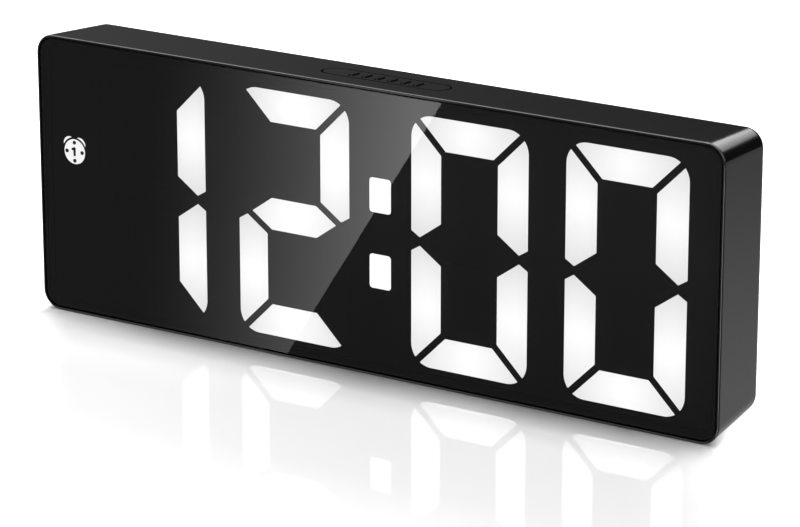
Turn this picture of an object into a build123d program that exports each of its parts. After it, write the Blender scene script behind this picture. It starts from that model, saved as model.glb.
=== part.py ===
"""Digital LED desk clock showing 12:00, in millimetres.

X runs to the viewer's right, Y from the front window to the back, Z up.
The origin is on the table, under the middle of the case.
"""
import os
from math import hypot, sqrt

from build123d import *

# Case
case_width = 165.0
case_height = 61.2
case_depth = 20.5
front_corner_radius = 4.3
rear_corner_radius = 4.1
side_taper = 1.6
top_taper = 1.4
bottom_taper = 1.35
rear_edge_radius = 3.0
front_edge_radius = 0.32
wall = 1.8
rim_wall = 0.58
ledge_thickness = 1.0

# Window and the tape behind it
panel_thickness = 1.2
panel_recess = 0.1
panel_gap = 0.34
tape_thickness = 0.15

# Display body and its board
display_clearance = 0.3
reflector_thickness = 3.6
display_board_thickness = 1.0
display_board_margin = 0.2
lens_thickness = 1.3
lens_clearance = 0.03

# Digits: seven straight segments inside a rounded outline
digit_left_margin = 15.15
digit_right_margin = 8.45
digit_top_margin = 4.5
digit_bottom_margin = 3.7
digit_space = 8.6
colon_space = 15.0
vertical_stroke = 7.0
horizontal_stroke = 6.8
segment_gap = 1.52
digit_corner_radius = 4.7
corner_cut_offset = 0.23
junction_inset = 2.0
inner_arm_slope_share = 0.704
outer_arm_slope_share = 0.612
colon_width = 5.12
colon_height = 7.28
colon_offset = 8.08
colon_corner_radius = 0.7

# Alarm pictogram: a round clock with two bells
icon_left_inset = 8.35
icon_rise = 5.6
icon_radius = 2.72
icon_bell_radius = 1.55
icon_bell_offset_x = 1.3
icon_bell_offset_z = 1.67
icon_bell_gap = 0.46
icon_dot_radius = 0.42
icon_dot_circle = 2.0
icon_stroke = 0.56
icon_numeral_height = 2.0
icon_numeral_arm = 0.5
icon_numeral_drop = 0.2
icon_mark_thickness = 0.1

# LED chips
chip_length = 1.6
chip_width = 0.8
chip_height = 0.6
chip_offset_share = 0.22

# Display lugs and screws
lug_reach = 13.0
lug_height = 8.0
lug_thickness = 2.2
lug_half_spacing = 10.0
lug_screw_inset = 3.0

# Screws: pan heads, all M2
screw_radius = 1.0
screw_head_radius = 1.9
screw_head_height = 0.9
thread_clearance = 0.05
screw_hole_clearance = 0.15
screw_tip_room = 0.4
display_screw_length = 5.4
cover_screw_length = 6.0
inner_screw_length = 4.0
snooze_screw_length = 4.0

# Rear cover
cover_inset_x = 6.5
cover_inset_z = 6.6
cover_thickness = 2.0
cover_corner_radius = 3.0
cover_gap = 0.2
cover_ledge = 2.0
corner_pad = 8.0
boss_radius = 2.5
boss_length = 6.0
boss_inset_x = 5.0
boss_inset_z = 5.0
head_recess_depth = 1.0
head_recess_clearance = 0.25

# Main board, parallel to the rear cover
main_board_thickness = 1.2
main_board_left_inset = 9.7
main_board_low_inset = 1.325
main_board_high_inset = 4.575
main_board_tray_gap = 8.5
post_radius = 2.3
post_edge_inset = 3.2

# Rear buttons and their switches
button_bay_margin = 3.2
button_bay_depth = 0.9
button_bay_corner_radius = 2.0
button_first_share = 0.158
button_pitch_share = 0.19
button_width_share = 0.54
button_height = 4.6
button_corner_radius = 1.2
button_edge_radius = 0.25
button_rise = 6.425
button_proud = 0.7
button_clearance = 0.15
button_flange = 1.0
button_flange_thickness = 0.8
button_mark_depth = 0.2
button_mark_size = 1.5
switch_size = 6.0
switch_height = 2.2
switch_floor = 0.4
plunger_radius = 1.0
plunger_clearance = 0.08
plunger_proud = 0.8
plunger_length = 1.5
stem_radius = 1.3
button_stem_length = 0.15
press_room = 0.1

# Buzzer and its sound holes
buzzer_place_share = 0.18
buzzer_height_on_board = 11.1
buzzer_radius = 6.0
buzzer_height = 3.0
sound_hole_radius = 0.6
sound_hole_circle = 3.0
sound_hole_count = 6

# Power inlet
inlet_place_share = 0.707
inlet_height_on_board = 9.1
inlet_width = 7.8
inlet_height = 2.9
inlet_wall = 0.3
inlet_tongue_width = 3.8
inlet_tongue_thickness = 0.6
inlet_back_wall = 0.8
inlet_recess = 0.3
inlet_clearance = 0.4
inlet_corner_radius = 0.6

# Parts on the main board and the display board
clock_chip_place_share = 0.385
clock_chip_rise = 6.425
clock_chip_width = 10.0
clock_chip_height = 7.0
clock_chip_thickness = 1.6
crystal_place_share = 0.62
crystal_radius = 1.0
crystal_length = 6.0
capacitor_place_share = 0.883
capacitor_lead_gap = 0.5
capacitor_radius = 2.5
capacitor_room = 1.8
driver_chip_place_share = 0.46
driver_chip_drop = 6.575
driver_chip_width = 10.0
driver_chip_height = 4.0
driver_chip_thickness = 1.5
header_place_share = 0.45
header_height_on_board = 5.1
header_pin_pitch = 2.54
header_pin_count = 10
header_pin_size = 0.64
header_strip_height = 2.5
header_strip_thickness = 2.5

# Snooze button in the top face, and its switch board
snooze_length = 29.6
snooze_width = 6.1
snooze_setback = 8.95
snooze_gap = 0.42
snooze_flange = 0.7
snooze_flange_thickness = 0.8
snooze_flange_gap = 0.06
snooze_rib_count = 6
snooze_rib_pitch = 3.1
snooze_rib_length = 3.4
snooze_rib_width = 1.1
snooze_rib_height = 0.2
snooze_stem_length = 1.6
snooze_board_length = 44.0
snooze_board_width = 6.0
snooze_board_gap = 0.5
snooze_switch_size = 4.5
snooze_board_thickness = 1.2
snooze_screw_inset = 3.0
snooze_post_radius = 2.4
snooze_lead_radius = 0.5
snooze_lead_x = -13.0
snooze_lead_pitch = 1.6
snooze_lead_drop = 3.0

# Battery bay: three AAA cells lying along X
cell_length = 44.5
cell_nub_radius = 1.9
cell_nub_length = 0.8
cell_gap = 0.3
cell_count = 3
cell_clearance = 0.12
cell_door_gap = 1.13
tray_right_inset = 15.2
tray_wall = 1.0
tray_floor = 0.8
tray_board_gap = 0.3
tray_cover_gap = 0.1
tray_ear_reach = 6.0
tray_ear_height = 7.0
tray_ear_inset = 3.8
tray_ear_end = 7.17
contact_thickness = 0.3
contact_width = 7.0
contact_dimple_radius = 2.2
contact_dimple_height = 0.7
contact_gap = 0.05
contact_leaf_height = 2.4
contact_leaf_width = 4.0
lead_radius = 0.6
lead_bend = 3.0
lead_out = 3.6
lead_height_on_board = 2.9
lead_end_inset = 9.0

# Battery door, tipped open about its lower edge
door_thickness = 1.6
door_gap = 0.25
door_side_overlap = 0.5
door_low_rim = 4.455
door_high_rim = 5.205
door_below_tray = 3.0
door_above_tray = 1.0
door_hinge_radius = 0.5
door_tab_width = 6.0
door_tab_offset = 16.0
door_tab_reach = 1.4
door_tab_thickness = 0.9
door_tab_gap = 0.05
door_tab_web = 1.2
latch_width = 10.0
latch_height = 6.5
latch_gap = 0.3
latch_thickness = 1.0
latch_web = 0.7
latch_nose_reach = 1.2
latch_nose_thickness = 0.9
latch_grip_count = 3
latch_grip_depth = 0.25
latch_grip_width = 0.5
latch_grip_pitch = 1.2

# Rear feet
foot_radius = 3.6
foot_inset_x = 20.5
foot_inset_y = 7.45
foot_seat_depth = 0.54
foot_clearance = 0.1

# One overrun serves every through cut
overrun = 1.0

# Depths along Y, from the front rim to the back
case_front = -case_depth / 2
case_back = case_depth / 2
panel_front = case_front + panel_recess
panel_back = panel_front + panel_thickness
display_front = panel_back + tape_thickness
display_back = display_front + reflector_thickness
display_board_back = display_back + display_board_thickness
cover_front = case_back - cover_thickness
ledge_front = cover_front - ledge_thickness
web_back = case_back - button_bay_depth
flange_back = cover_front - press_room
flange_front = flange_back - button_flange_thickness
plunger_back = flange_front - button_stem_length
switch_back = plunger_back - plunger_proud
main_board_back = switch_back - switch_height
main_board_front = main_board_back - main_board_thickness
tray_front = display_board_back + tray_board_gap
tray_back = cover_front - tray_cover_gap
door_front = case_back - door_thickness
snooze_y = case_front + snooze_setback
snooze_board_y = display_board_back + snooze_board_gap + snooze_board_width / 2
foot_y = case_back - foot_inset_y

# Digits and pictogram on the window
time_shown = "1200"
digits_width = case_width - digit_left_margin - digit_right_margin - colon_space - 2 * digit_space
digit_half_width = digits_width / len(time_shown) / 2
digit_half_height = (case_height - digit_top_margin - digit_bottom_margin) / 2
display_middle_x = (digit_left_margin - digit_right_margin) / 2
display_middle_z = (digit_bottom_margin + case_height - digit_top_margin) / 2
inner_digit_offset = colon_space / 2 + digit_half_width
outer_digit_offset = inner_digit_offset + 2 * digit_half_width + digit_space
icon_x = icon_left_inset - case_width / 2
icon_z = display_middle_z + icon_rise

# Cover and door, and the cells that fill the bay in depth or in height, whichever is the tighter
cover_width = case_width - 2 * cover_inset_x
cover_height = case_height - 2 * cover_inset_z
cover_middle_z = (case_height - top_taper + bottom_taper) / 2
door_height_room = cover_height - door_low_rim - door_high_rim
bay_height_room = door_height_room - door_below_tray - door_above_tray - 2 * tray_wall
cell_room_height = bay_height_room - 2 * cell_clearance - (cell_count - 1) * cell_gap
cell_room_depth = door_front - cell_door_gap - tray_front - tray_floor - cell_clearance
cell_radius = min(cell_room_depth, cell_room_height / cell_count) / 2
cell_pitch = 2 * cell_radius + cell_gap
cell_y = tray_front + tray_floor + cell_clearance + cell_radius
tray_middle_z = cover_middle_z + (door_low_rim + door_below_tray - door_high_rim - door_above_tray) / 2
bay_length = cell_length + 2 * contact_thickness + contact_dimple_height + contact_leaf_height + 2 * contact_gap
bay_height = cell_pitch * (cell_count - 1) + 2 * (cell_radius + cell_clearance)
tray_x = (cover_width / 2 - tray_right_inset - bay_length - 2 * tray_wall, cover_width / 2 - tray_right_inset)
bay_x = (tray_x[0] + tray_wall, tray_x[1] - tray_wall)
bay_z = (tray_middle_z - bay_height / 2, tray_middle_z + bay_height / 2)
tray_z = (bay_z[0] - tray_wall, bay_z[1] + tray_wall)
door_x = (bay_x[0] - door_side_overlap, bay_x[1] + door_side_overlap)
door_z = (tray_z[0] - door_below_tray, tray_z[1] + door_above_tray)
positive_lead_z = tray_middle_z - cell_pitch * (cell_count - 1) / 2
negative_lead_z = tray_middle_z + cell_pitch * (cell_count - 1) / 2

# Main board and the places of the pieces on it
main_board_left = main_board_left_inset - cover_width / 2
main_board_right = tray_x[0] - main_board_tray_gap
main_board_width = main_board_right - main_board_left
main_board_bottom = cover_middle_z - cover_height / 2 + main_board_low_inset
main_board_top = cover_middle_z + cover_height / 2 - main_board_high_inset
button_pitch = main_board_width * button_pitch_share
button_width = button_pitch * button_width_share
button_left_x = main_board_left + main_board_width * button_first_share
button_z = cover_middle_z + button_rise
buzzer_x = main_board_left + main_board_width * buzzer_place_share
buzzer_z = main_board_bottom + buzzer_height_on_board
inlet_x = main_board_left + main_board_width * inlet_place_share
inlet_z = main_board_bottom + inlet_height_on_board
clock_chip_x = main_board_left + main_board_width * clock_chip_place_share
clock_chip_z = cover_middle_z + clock_chip_rise
crystal_x = main_board_left + main_board_width * crystal_place_share
capacitor_x = main_board_left + main_board_width * capacitor_place_share
capacitor_z = positive_lead_z + lead_radius + capacitor_lead_gap + capacitor_radius
capacitor_front = display_board_back + capacitor_room
driver_chip_x = main_board_left + main_board_width * driver_chip_place_share
driver_chip_z = cover_middle_z - driver_chip_drop
header_x = main_board_left + main_board_width * header_place_share
header_z = main_board_bottom + header_height_on_board
lead_low_z = main_board_bottom + lead_height_on_board
lead_left_end = main_board_right - lead_end_inset
foot_x = case_width / 2 - foot_inset_x
foot_seat_height = bottom_taper * (foot_y - case_front) / case_depth + foot_seat_depth


def wall_plane(y):
    """Plane square to Y at depth y, as the viewer sees it: its x is X and its y is Z."""
    return Plane(origin=(0, y, 0), x_dir=(1, 0, 0), z_dir=(0, -1, 0))


def slab(face, y_front, y_back):
    """Solid between two depths from a face drawn in X and Z."""
    return extrude(wall_plane(y_back) * face, amount=y_back - y_front)


def level(face, z_low, z_high):
    """Solid between two heights from a face drawn in X and Y."""
    return extrude(Pos(0, 0, z_low) * face, amount=z_high - z_low)


def block(x_span, y_span, z_span):
    """Box between three pairs of coordinates."""
    spans = (x_span, y_span, z_span)
    middle = [(low + high) / 2 for low, high in spans]
    size = [high - low for low, high in spans]
    return Pos(*middle) * Box(*size)


def rod(x, z, radius, y_front, y_back):
    """Cylinder along Y."""
    return slab(Pos(x, z) * Circle(radius), y_front, y_back)


def around(middle, half):
    """Span of a size set symmetrically about a middle."""
    return (middle - half, middle + half)


def gather(pieces):
    """Separate solids kept as one group."""
    return Compound(children=[solid for piece in pieces for solid in piece.solids()])


def save(node, shape):
    """Writes one sub-part to its own file."""
    export_step(shape, os.path.join("parts", node + ".step"))


def case_outline(y, inset):
    """Rounded outline of the tapered case at depth y, drawn in by an inset."""
    share = (y - case_front) / case_depth
    half_width = case_width / 2 - side_taper * share - inset
    bottom = bottom_taper * share + inset
    top = case_height - top_taper * share - inset
    radius = front_corner_radius + (rear_corner_radius - front_corner_radius) * share - inset
    return Pos(0, (bottom + top) / 2) * RectangleRounded(2 * half_width, top - bottom, radius)


def case_block(y_front, y_back, inset):
    """Tapered block between two depths, with the case's own slopes."""
    return loft([wall_plane(y) * case_outline(y, inset) for y in (y_front, y_back)], ruled=True)


def case_top_z(y, inset):
    """Height of the case's sloping top at depth y."""
    return case_height - top_taper * (y - case_front) / case_depth - inset


def case_half_width(y, inset):
    """Half width of the case's tapered sides at depth y."""
    return case_width / 2 - side_taper * (y - case_front) / case_depth - inset


def snooze_face(margin):
    """Stadium of the snooze button in X and Y, grown by a margin."""
    return Pos(0, snooze_y) * SlotOverall(snooze_length + 2 * margin, snooze_width + 2 * margin)


# Places of the screws and posts, each as X and Z
lug_places = [
    (side * (case_half_width(display_board_back, wall) - lug_reach + lug_screw_inset), cover_middle_z + row)
    for side in (-1, 1)
    for row in (-lug_half_spacing, lug_half_spacing)
]
cover_screw_places = [
    (side * (cover_width / 2 - boss_inset_x), cover_middle_z + row * (cover_height / 2 - boss_inset_z))
    for side in (-1, 1)
    for row in (-1, 1)
]
main_board_places = [
    (x, z)
    for x in (main_board_left + post_edge_inset, main_board_right - post_edge_inset)
    for z in (main_board_bottom + post_edge_inset, main_board_top - post_edge_inset)
]
ear_places = [
    (x, z)
    for x in (tray_x[0] - tray_ear_inset, tray_x[1] + tray_ear_inset)
    for z in (tray_z[0] + tray_ear_end, tray_z[1] - tray_ear_end)
]
button_names = ("set", "mode", "up", "down")
button_places = [(button_left_x + button_pitch * n, button_z) for n in range(len(button_names))]
bay_half_height = button_height / 2 + button_bay_margin
button_bay_x = (
    button_places[0][0] - button_width / 2 - button_bay_margin,
    button_places[-1][0] + button_width / 2 + button_bay_margin,
)
snooze_flange_top = case_top_z(snooze_y + snooze_width / 2 + snooze_flange, wall) - snooze_flange_gap
snooze_flange_bottom = snooze_flange_top - snooze_flange_thickness
snooze_plunger_top = snooze_flange_bottom - snooze_stem_length
snooze_switch_top = snooze_plunger_top - plunger_proud
snooze_board_top = snooze_switch_top - switch_height
snooze_board_bottom = snooze_board_top - snooze_board_thickness
snooze_screw_xs = around(0, snooze_board_length / 2 - snooze_screw_inset)


def make_case():
    """Deep case: tapered outside, thin front rim, ledge for the window, open back with a seat for the cover."""
    body = case_block(case_front, case_back, 0)
    body = fillet(body.edges().group_by(Axis.Y)[-1], rear_edge_radius)
    body = fillet(body.edges().group_by(Axis.Y)[0], front_edge_radius)
    body -= case_block(case_front - overrun, display_front, rim_wall)
    body -= case_block(display_front - overrun, ledge_front, wall)
    seat = RectangleRounded(
        cover_width + 2 * cover_gap, cover_height + 2 * cover_gap, cover_corner_radius + cover_gap
    )
    body -= slab(Pos(0, cover_middle_z) * seat, cover_front, case_back + overrun)
    body -= slab(ledge_opening(), ledge_front - overrun, cover_front + overrun)
    for x, z in cover_screw_places:
        body += rod(x, z, boss_radius, cover_front - boss_length, cover_front)
    for x, z in cover_screw_places:
        bore_front = case_back - head_recess_depth - cover_screw_length - screw_tip_room
        body -= rod(x, z, screw_radius + thread_clearance, bore_front, cover_front + overrun)
    body += make_lugs()
    for x, z in lug_places:
        body -= rod(x, z, screw_radius + screw_hole_clearance, display_board_back - overrun, cover_front)
    body += make_snooze_posts()
    for x in snooze_screw_xs:
        bore = Pos(x, snooze_board_y) * Circle(screw_radius + thread_clearance)
        body -= level(bore, snooze_board_top - overrun, snooze_bore_top())
    body -= level(snooze_face(snooze_gap), snooze_flange_top, case_height + overrun)
    foot_seat = Circle(foot_radius + foot_clearance)
    for side in (-1, 1):
        body -= level(Pos(side * foot_x, foot_y) * foot_seat, -overrun, foot_seat_height)
    return body


def ledge_opening():
    """Opening inside the cover's ledge, less the four corner pads that carry the screw bosses."""
    half_width = cover_width / 2 - cover_ledge
    half_height = cover_height / 2 - cover_ledge
    opening = Pos(0, cover_middle_z) * Rectangle(2 * half_width, 2 * half_height)
    for side in (-1, 1):
        for row in (-1, 1):
            pad_x = side * (half_width - corner_pad / 2)
            pad_z = cover_middle_z + row * (half_height - corner_pad / 2)
            opening -= Pos(pad_x, pad_z) * Rectangle(corner_pad, corner_pad)
    return opening


def make_lugs():
    """Lugs on the side walls that the display is screwed to."""
    lugs = []
    for side in (-1, 1):
        for row in (-lug_half_spacing, lug_half_spacing):
            inner = side * (case_half_width(display_board_back, wall) - lug_reach)
            outer = side * (case_half_width(display_board_back, wall) + wall / 2)
            depth = (display_board_back, display_board_back + lug_thickness)
            lugs.append(block(sorted((inner, outer)), depth, around(cover_middle_z + row, lug_height / 2)))
    return lugs


def make_snooze_posts():
    """Posts under the top wall that the snooze board is screwed to."""
    post = Pos(0, snooze_board_y) * Circle(snooze_post_radius)
    top = case_top_z(snooze_board_y + snooze_post_radius, wall / 2)
    return [level(Pos(x, 0) * post, snooze_board_top, top) for x in snooze_screw_xs]


def snooze_bore_top():
    """Blind end of the bores in the snooze posts."""
    return snooze_board_bottom + snooze_screw_length + screw_tip_room


def make_panel():
    """Dark window inside the rim."""
    return case_block(panel_front, panel_back, rim_wall + panel_gap)


def make_tape():
    """Adhesive frame between the window and the case's ledge."""
    frame = case_block(panel_back, display_front, rim_wall + panel_gap)
    inside = case_outline(display_front, wall + display_clearance)
    return frame - slab(inside, panel_back - overrun, display_front + overrun)


def digit_outline():
    """Rounded outline shared by the seven segments of a digit."""
    return RectangleRounded(2 * digit_half_width, 2 * digit_half_height, digit_corner_radius)


def segment_face(name):
    """One segment, a to g, about the digit's own middle."""
    a, b = digit_half_width, digit_half_height
    half_gap = segment_gap / 2
    slant = half_gap * sqrt(2)
    half_bar = horizontal_stroke / 2
    rise = half_gap * hypot(1, inner_arm_slope_share)
    run = half_gap * hypot(1, 1 / inner_arm_slope_share)
    tip = a - junction_inset
    if name == "g":
        shoulder = tip - run - half_bar / inner_arm_slope_share
        points = [(tip - run, 0), (shoulder, half_bar), (-shoulder, half_bar)]
        points += [(run - tip, 0), (-shoulder, -half_bar), (shoulder, -half_bar)]
        return make_face(Polyline(*points, close=True))
    if name in "ad":
        row = 1 if name == "a" else -1
        wide = a - corner_cut_offset - slant
        narrow = wide - horizontal_stroke
        points = [(-wide, row * b), (wide, row * b), (narrow, row * (b - horizontal_stroke))]
        points += [(-narrow, row * (b - horizontal_stroke))]
    else:
        side = 1 if name in "bc" else -1
        row = 1 if name in "bf" else -1
        inner = a - vertical_stroke
        cut = b + corner_cut_offset - slant
        points = [(a, cut), (a, rise + outer_arm_slope_share * junction_inset), (tip, rise)]
        points += [(inner, rise + inner_arm_slope_share * (vertical_stroke - junction_inset))]
        points += [(inner, cut - vertical_stroke)]
        points = [(side * x, row * z) for x, z in points]
    return make_face(Polyline(*points, close=True)) & digit_outline()


lit_segments = {"0": "abcdef", "1": "bc", "2": "abged"}
digit_middles = [
    display_middle_x - outer_digit_offset,
    display_middle_x - inner_digit_offset,
    display_middle_x + inner_digit_offset,
    display_middle_x + outer_digit_offset,
]


def digit_faces(position, names):
    """Faces of the named segments at one of the four digit places."""
    return [Pos(digit_middles[position], display_middle_z) * segment_face(name) for name in names]


def colon_faces():
    """The two dots between hours and minutes."""
    dot = RectangleRounded(colon_width, colon_height, colon_corner_radius)
    return [Pos(display_middle_x, display_middle_z + row * colon_offset) * dot for row in (-1, 1)]


def icon_faces():
    """Round clock and its two bells, cut clear of the clock by a narrow gap."""
    dial = Pos(icon_x, icon_z) * Circle(icon_radius)
    clear = Pos(icon_x, icon_z) * Circle(icon_radius + icon_bell_gap)
    bells = []
    for side in (-1, 1):
        bell = Pos(icon_x + side * icon_bell_offset_x, icon_z + icon_bell_offset_z) * Circle(icon_bell_radius)
        bells.append(bell - clear)
    return [dial] + bells


def lens(face):
    """Lens that fills the front of its cavity."""
    return slab(face, display_front, display_front + lens_thickness)


def make_icon_marks():
    """Four hour dots and a plain 1, printed on the pictogram."""
    marks = []
    for x, z in ((1, 0), (-1, 0), (0, 1), (0, -1)):
        marks.append(Pos(icon_x + x * icon_dot_circle, icon_z + z * icon_dot_circle) * Circle(icon_dot_radius))
    top = icon_z + icon_numeral_height / 2
    stem = SlotOverall(icon_numeral_height, icon_stroke, rotation=90)
    numeral = Pos(icon_x, icon_z) * stem
    arm_end = (icon_x - icon_numeral_arm, top - icon_stroke / 2 - icon_numeral_drop)
    arm_start = (icon_x, top - icon_stroke / 2)
    numeral += SlotCenterPoint(
        ((arm_end[0] + arm_start[0]) / 2, (arm_end[1] + arm_start[1]) / 2), arm_end, icon_stroke
    )
    marks.append(numeral)
    return gather([slab(face, display_front - icon_mark_thickness, display_front) for face in marks])


def make_reflector():
    """Black display body with one cavity for each segment, dot and bell."""
    body = slab(case_outline(display_back, wall + display_clearance), display_front, display_back)
    faces = colon_faces() + icon_faces()
    for position in range(len(time_shown)):
        faces += digit_faces(position, "abcdefg")
    cavities = [offset(face, lens_clearance, kind=Kind.INTERSECTION) for face in faces]
    body -= [slab(face, display_front - overrun, display_back + overrun) for face in cavities]
    bore_front = display_board_back + lug_thickness - display_screw_length - screw_tip_room
    for x, z in lug_places:
        body -= rod(x, z, screw_radius + thread_clearance, bore_front, display_back + overrun)
    return body


def make_display_board():
    """Board behind the display body, with holes for its four screws."""
    half_width = case_half_width(display_board_back, wall + display_clearance)
    height = around(display_middle_z, digit_half_height + display_board_margin)
    board = block((-half_width, half_width), (display_back, display_board_back), height)
    hole_radius = screw_radius + screw_hole_clearance
    for x, z in lug_places:
        board -= rod(x, z, hole_radius, display_back - overrun, display_board_back + overrun)
    return board


def chip_places():
    """Middle of each LED chip in X and Z, with the way it lies."""
    places = [(icon_x, icon_z, True)]
    places += [(display_middle_x, display_middle_z + row * colon_offset, True) for row in (-1, 1)]
    bar_z = digit_half_height - horizontal_stroke / 2
    side_x = digit_half_width - vertical_stroke / 2
    for middle in digit_middles:
        for row in (-1, 0, 1):
            for end in (-1, 1):
                x = middle + end * 2 * digit_half_width * chip_offset_share
                places.append((x, display_middle_z + row * bar_z, True))
        for side in (-1, 1):
            for half in (-1, 1):
                for end in (-1, 1):
                    reach = digit_half_height * (half / 2 + end * chip_offset_share)
                    places.append((middle + side * side_x, display_middle_z + reach, False))
    return places


def make_led_chips():
    """LED chips on the front of the display board, two to a segment."""
    chips = []
    for x, z, flat in chip_places():
        half_x, half_z = (chip_length / 2, chip_width / 2) if flat else (chip_width / 2, chip_length / 2)
        chips.append(block(around(x, half_x), (display_back - chip_height, display_back), around(z, half_z)))
    return gather(chips)


def screw(place, head_y, way, length):
    """Pan-head screw along Y: its head's underside at head_y, its shank running way times length."""
    x, z = place
    head = sorted((head_y, head_y - way * screw_head_height))
    shank = sorted((head_y, head_y + way * length))
    driver = sorted((head_y - way * screw_head_height / 2, head_y - way * (screw_head_height + overrun)))
    body = rod(x, z, screw_head_radius, *head) + rod(x, z, screw_radius, *shank)
    slot_long, slot_short = screw_head_radius / 2, screw_head_radius / 8
    body -= block(around(x, slot_long), driver, around(z, slot_short))
    body -= block(around(x, slot_short), driver, around(z, slot_long))
    return body


def upright_screw(x, y, head_z, length):
    """Pan-head screw pointing up: its head's underside at head_z."""
    body = level(Pos(x, y) * Circle(screw_head_radius), head_z - screw_head_height, head_z)
    return body + level(Pos(x, y) * Circle(screw_radius), head_z, head_z + length)


def make_cover():
    """Rear cover: button bay, door opening, sound holes, inlet slot and posts for what it carries."""
    outline = RectangleRounded(cover_width, cover_height, cover_corner_radius)
    body = slab(Pos(0, cover_middle_z) * outline, cover_front, case_back)
    bay_width = button_bay_x[1] - button_bay_x[0]
    bay = RectangleRounded(bay_width, 2 * bay_half_height, button_bay_corner_radius)
    body -= slab(Pos(sum(button_bay_x) / 2, button_z) * bay, web_back, case_back + overrun)
    for x, z in button_places:
        body -= slab(Pos(x, z) * button_face(button_clearance), cover_front - overrun, case_back + overrun)
    door_hole_x = (door_x[0] - door_gap, door_x[1] + door_gap)
    door_hole_z = (door_z[0] - door_gap, door_z[1] + door_gap)
    body -= block(door_hole_x, (cover_front - overrun, case_back + overrun), door_hole_z)
    holes = [(buzzer_x, buzzer_z)]
    ring = PolarLocations(sound_hole_circle, sound_hole_count)
    holes += [(buzzer_x + place.position.X, buzzer_z + place.position.Y) for place in ring]
    for x, z in holes:
        body -= rod(x, z, sound_hole_radius, cover_front - overrun, case_back + overrun)
    slot = RectangleRounded(
        inlet_width + 2 * inlet_clearance,
        inlet_height + 2 * inlet_clearance,
        inlet_corner_radius + inlet_clearance,
    )
    body -= slab(Pos(inlet_x, inlet_z) * slot, cover_front - overrun, case_back + overrun)
    for x, z in cover_screw_places:
        recess = case_back - head_recess_depth
        body -= rod(x, z, screw_head_radius + head_recess_clearance, recess, case_back + overrun)
        body -= rod(x, z, screw_radius + screw_hole_clearance, cover_front - overrun, case_back)
    for x, z in main_board_places + ear_places:
        body += rod(x, z, post_radius, main_board_back, cover_front)
    for x, z in main_board_places + ear_places:
        bore_back = main_board_front + inner_screw_length + screw_tip_room
        body -= rod(x, z, screw_radius + thread_clearance, main_board_back - overrun, bore_back)
    return body


def button_face(margin):
    """Outline of a rear button about its own middle, grown by a margin."""
    return RectangleRounded(
        button_width + 2 * margin, button_height + 2 * margin, button_corner_radius + margin
    )


def button_mark(name):
    """Plain mark sunk in a rear button: a bar, a dot or an arrow head."""
    size = button_mark_size
    if name == "set":
        return Circle(size / 2)
    if name == "mode":
        return Rectangle(size * 2, size / 2)
    way = 1 if name == "up" else -1
    corners = [(-size, -way * size / 2), (size, -way * size / 2), (0, way * size / 2)]
    return make_face(Polyline(*corners, close=True))


def make_button(name, place):
    """Rear button: cap through the cover's web, flange behind it and a stem onto the switch."""
    x, z = place
    cap_back = web_back + button_proud
    body = slab(Pos(x, z) * button_face(0), flange_back, cap_back)
    body = fillet(body.edges().group_by(Axis.Y)[-1], button_edge_radius)
    body += slab(Pos(x, z) * button_face(button_flange), flange_front, flange_back)
    body += rod(x, z, stem_radius, plunger_back, flange_front)
    return body - slab(Pos(x, z) * button_mark(name), cap_back - button_mark_depth, case_back + overrun)


def make_switch(place):
    """Tact switch body on the main board, bored for its plunger."""
    x, z = place
    body = block(around(x, switch_size / 2), (main_board_back, switch_back), around(z, switch_size / 2))
    bore_radius = plunger_radius + plunger_clearance
    return body - rod(x, z, bore_radius, main_board_back + switch_floor, switch_back + overrun)


def make_plunger(place):
    """Plunger of a tact switch."""
    x, z = place
    return rod(x, z, plunger_radius, plunger_back - plunger_length, plunger_back)


def make_main_board():
    """Main board with holes for its four screws."""
    board = block(
        (main_board_left, main_board_right),
        (main_board_front, main_board_back),
        (main_board_bottom, main_board_top),
    )
    hole_radius = screw_radius + screw_hole_clearance
    for x, z in main_board_places:
        board -= rod(x, z, hole_radius, main_board_front - overrun, main_board_back + overrun)
    return board


def make_inlet():
    """Metal power inlet facing the back, with its contact tongue."""
    back = case_back - inlet_recess
    shell = RectangleRounded(inlet_width, inlet_height, inlet_corner_radius)
    mouth = offset(shell, -inlet_wall, kind=Kind.INTERSECTION)
    body = slab(Pos(inlet_x, inlet_z) * shell, main_board_back, back)
    floor = main_board_back + inlet_back_wall
    body -= slab(Pos(inlet_x, inlet_z) * mouth, floor, back + overrun)
    tongue = Rectangle(inlet_tongue_width, inlet_tongue_thickness)
    return body + slab(Pos(inlet_x, inlet_z) * tongue, floor, back - inlet_back_wall)


def make_header_pins():
    """Row of straight pins from the display board's strip to the main board."""
    first = header_x - header_pin_pitch * (header_pin_count - 1) / 2
    strip_back = display_board_back + header_strip_thickness
    half = header_pin_size / 2
    xs = [first + header_pin_pitch * n for n in range(header_pin_count)]
    return gather([block(around(x, half), (strip_back, main_board_front), around(header_z, half)) for x in xs])


def make_header_strip():
    """Plastic strip that carries the pins on the display board."""
    half = header_pin_pitch * header_pin_count / 2
    depth = (display_board_back, display_board_back + header_strip_thickness)
    return block(around(header_x, half), depth, around(header_z, header_strip_height / 2))


def make_snooze_button():
    """Key in the sloping top: flush cap with low grip ribs, a flange inside and a stem onto the switch."""
    top = case_block(case_front, case_back, 0)
    body = level(snooze_face(0), snooze_flange_top, case_height + overrun) & top
    body += level(snooze_face(snooze_flange), snooze_flange_bottom, snooze_flange_top)
    body += level(Pos(0, snooze_y) * Circle(stem_radius), snooze_plunger_top, snooze_flange_bottom)
    raised = case_block(case_front, case_back, -snooze_rib_height)
    first = -snooze_rib_pitch * (snooze_rib_count - 1) / 2
    rib = SlotOverall(snooze_rib_length, snooze_rib_width, rotation=90)
    for n in range(snooze_rib_count):
        place = Pos(first + snooze_rib_pitch * n, snooze_y)
        body += level(place * rib, snooze_flange_top, case_height + overrun) & raised
    return body


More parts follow.
